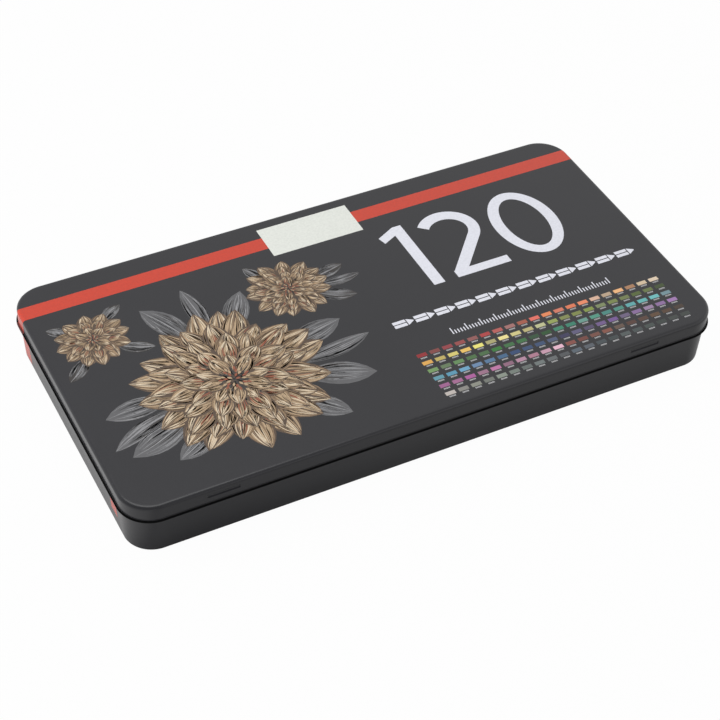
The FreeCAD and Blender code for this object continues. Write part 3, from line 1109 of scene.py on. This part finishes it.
def leadMaterial(family, start):
    mat, tree, shader = newMaterial("lead_" + family)
    tone = familyColor(tree, family, start, pencil["pitch"])
    grain = noise(tree, 1800, 3)
    paint(tree, shader, mixColor(tree, remap(tree, grain, 0.75, 1.1), (0, 0, 0), tone))
    shader.inputs["Roughness"].default_value = 0.55
    bump(tree, shader, grain, 0.25, 0.1 * mm)
    return mat


for layer in pencil["order"]:
    for place, family in enumerate(layer):
        start = pencil["first"] + place * perFamily * pencil["pitch"]
        dress("pencil_casings_" + family, casingMaterial(family, start))
        dress("pencil_leads_" + family, leadMaterial(family, start))
print("liner, trays and pencils finished")

# camera fitted to the tin's edges in the photograph
view = {
    "azimuth": -28.297,
    "elevation": 43.282,
    "roll": 2.229,
    "distance": 1125.488 * mm,
    "right": 2.21 * mm,      # how far the origin stands right of and above the picture's middle
    "up": 6.911 * mm,
    "lens": 90.862,
    "sensor": 36,
    "near": 10 * mm,
}


def placeCamera():
    az, el, roll = (math.radians(view[key]) for key in ("azimuth", "elevation", "roll"))
    back = Vector((math.sin(az) * math.cos(el), -math.cos(az) * math.cos(el), math.sin(el)))
    right = Vector((0, 0, 1)).cross(back).normalized()
    up = back.cross(right)
    axes = Matrix((math.cos(roll) * right + math.sin(roll) * up,
                   math.cos(roll) * up - math.sin(roll) * right, back)).transposed()
    data = bpy.data.cameras.new("camera")
    data.lens = view["lens"]
    data.sensor_width = view["sensor"]
    data.clip_start = view["near"]
    camera = bpy.data.objects.new("camera", data)
    spot = axes @ Vector((-view["right"], -view["up"], view["distance"]))
    camera.matrix_world = Matrix.Translation(spot) @ axes.to_4x4()
    bpy.context.scene.collection.objects.link(camera)
    bpy.context.scene.camera = camera


placeCamera()

# pale studio: floor, sky and soft lamps
studio = {
    "floor": (0.58, 0.58, 0.58),
    "floorReach": 4.0,
    "floorDrop": 0.05 * mm,
    "floorGlow": 0.975,      # share of plain white in what the camera sees of the floor
    "mirrorReach": 0.3,      # the tin mirrors a floor that is graded along X, this far each way
    "mirrorGlow": [(0.165, 0.65), (0.193, 0.06), (0.45, 0.2), (0.83, 0.245)],      # place, share of white
    "skyFill": 0.55,         # light that the sky gives
    "skyFront": 0.55,        # mirrored sky in front, against 1 behind
    "skyTurn": 0.6,          # X in the direction that counts as behind, against Y
    "skyBand": (-0.7, 0.3),        # where the sky begins to brighten towards the back, and is full
    "skyRight": 1.15,        # mirrored sky in front on the right
    "skyLean": 0.5,          # Y in that direction, against X
    "skySplit": (0.66, 0.76),      # where it begins and is full
}
lamps = {
    "overhead": {"spot": (-0.2, 0.25, 1.5), "target": (0, 0, 0), "size": 1.3, "watts": 7},
    "side": {"spot": (-1.3, 0.3, 0.85), "target": (-0.1, 0.05, 0), "size": 1.7, "watts": 13,
             "mirrored": False},
}


def makeFloor():
    mat, tree, shader = newMaterial("paleFloor")
    paint(tree, shader, cloudy(tree, noise(tree, 3, 2), studio["floor"], 0.99, 1))
    shader.inputs["Roughness"].default_value = 0.9
    shader.inputs["Specular IOR Level"].default_value = 0.1
    white = addNode(tree, "ShaderNodeEmission", {"Color": (1, 1, 1, 1), "Strength": 1.0})
    path = addNode(tree, "ShaderNodeLightPath").outputs
    reach = studio["mirrorReach"]
    along = remap(tree, splitCoords(tree, "Object")["X"], 0, 1, (-reach, reach))
    mirrored = ramp(tree, along, [(place, (level, level, level)) for place, level in studio["mirrorGlow"]])
    seen = maths(tree, "MULTIPLY", path["Is Camera Ray"], studio["floorGlow"])
    glow = maths(tree, "ADD", seen, maths(tree, "MULTIPLY", path["Is Glossy Ray"], mirrored))
    mixed = addNode(tree, "ShaderNodeMixShader", {0: glow, 1: shader.outputs[0], 2: white.outputs[0]})
    tree.links.new(mixed.outputs[0], tree.nodes["Material Output"].inputs["Surface"])
    half = studio["floorReach"]
    verts = [(-half, -half, 0), (half, -half, 0), (half, half, 0), (-half, half, 0)]
    floor = meshObject("floor", verts, [[0, 1, 2, 3]], [mat])
    floor.location.z = -studio["floorDrop"]


def makeSky():
    world = bpy.data.worlds.new("paleSky")
    bpy.context.scene.world = world
    world.use_nodes = True
    tree = world.node_tree
    path = addNode(tree, "ShaderNodeLightPath").outputs
    way = splitCoords(tree, "Generated")
    front = studio["skyFront"]
    behind = maths(tree, "ADD", way["Y"], maths(tree, "MULTIPLY", way["X"], studio["skyTurn"]))
    behind = remap(tree, behind, front, 1, studio["skyBand"])
    aside = maths(tree, "SUBTRACT", way["X"], maths(tree, "MULTIPLY", way["Y"], studio["skyLean"]))
    aside = remap(tree, aside, front, studio["skyRight"], studio["skySplit"])
    mirrored = maths(tree, "MAXIMUM", behind, aside)
    level = remap(tree, path["Is Glossy Ray"], studio["skyFill"], mirrored)
    sky = tree.nodes["Background"]
    sky.inputs["Color"].default_value = (1, 1, 1, 1)
    tree.links.new(maths(tree, "MAXIMUM", level, path["Is Camera Ray"]), sky.inputs["Strength"])


def softLamp(name, spot, target, size, watts, mirrored=True):
    data = bpy.data.lights.new(name, "AREA")
    data.shape = "DISK"
    data.size = size
    data.energy = watts
    lamp = bpy.data.objects.new(name, data)
    lamp.location = spot
    lamp.visible_glossy = mirrored
    lamp.rotation_euler = (Vector(target) - Vector(spot)).to_track_quat("-Z", "Y").to_euler()
    bpy.context.scene.collection.objects.link(lamp)


makeFloor()
makeSky()
for name, lamp in lamps.items():
    softLamp(name, **lamp)
print("camera and studio set")

bpy.context.scene.view_settings.view_transform = "Standard"
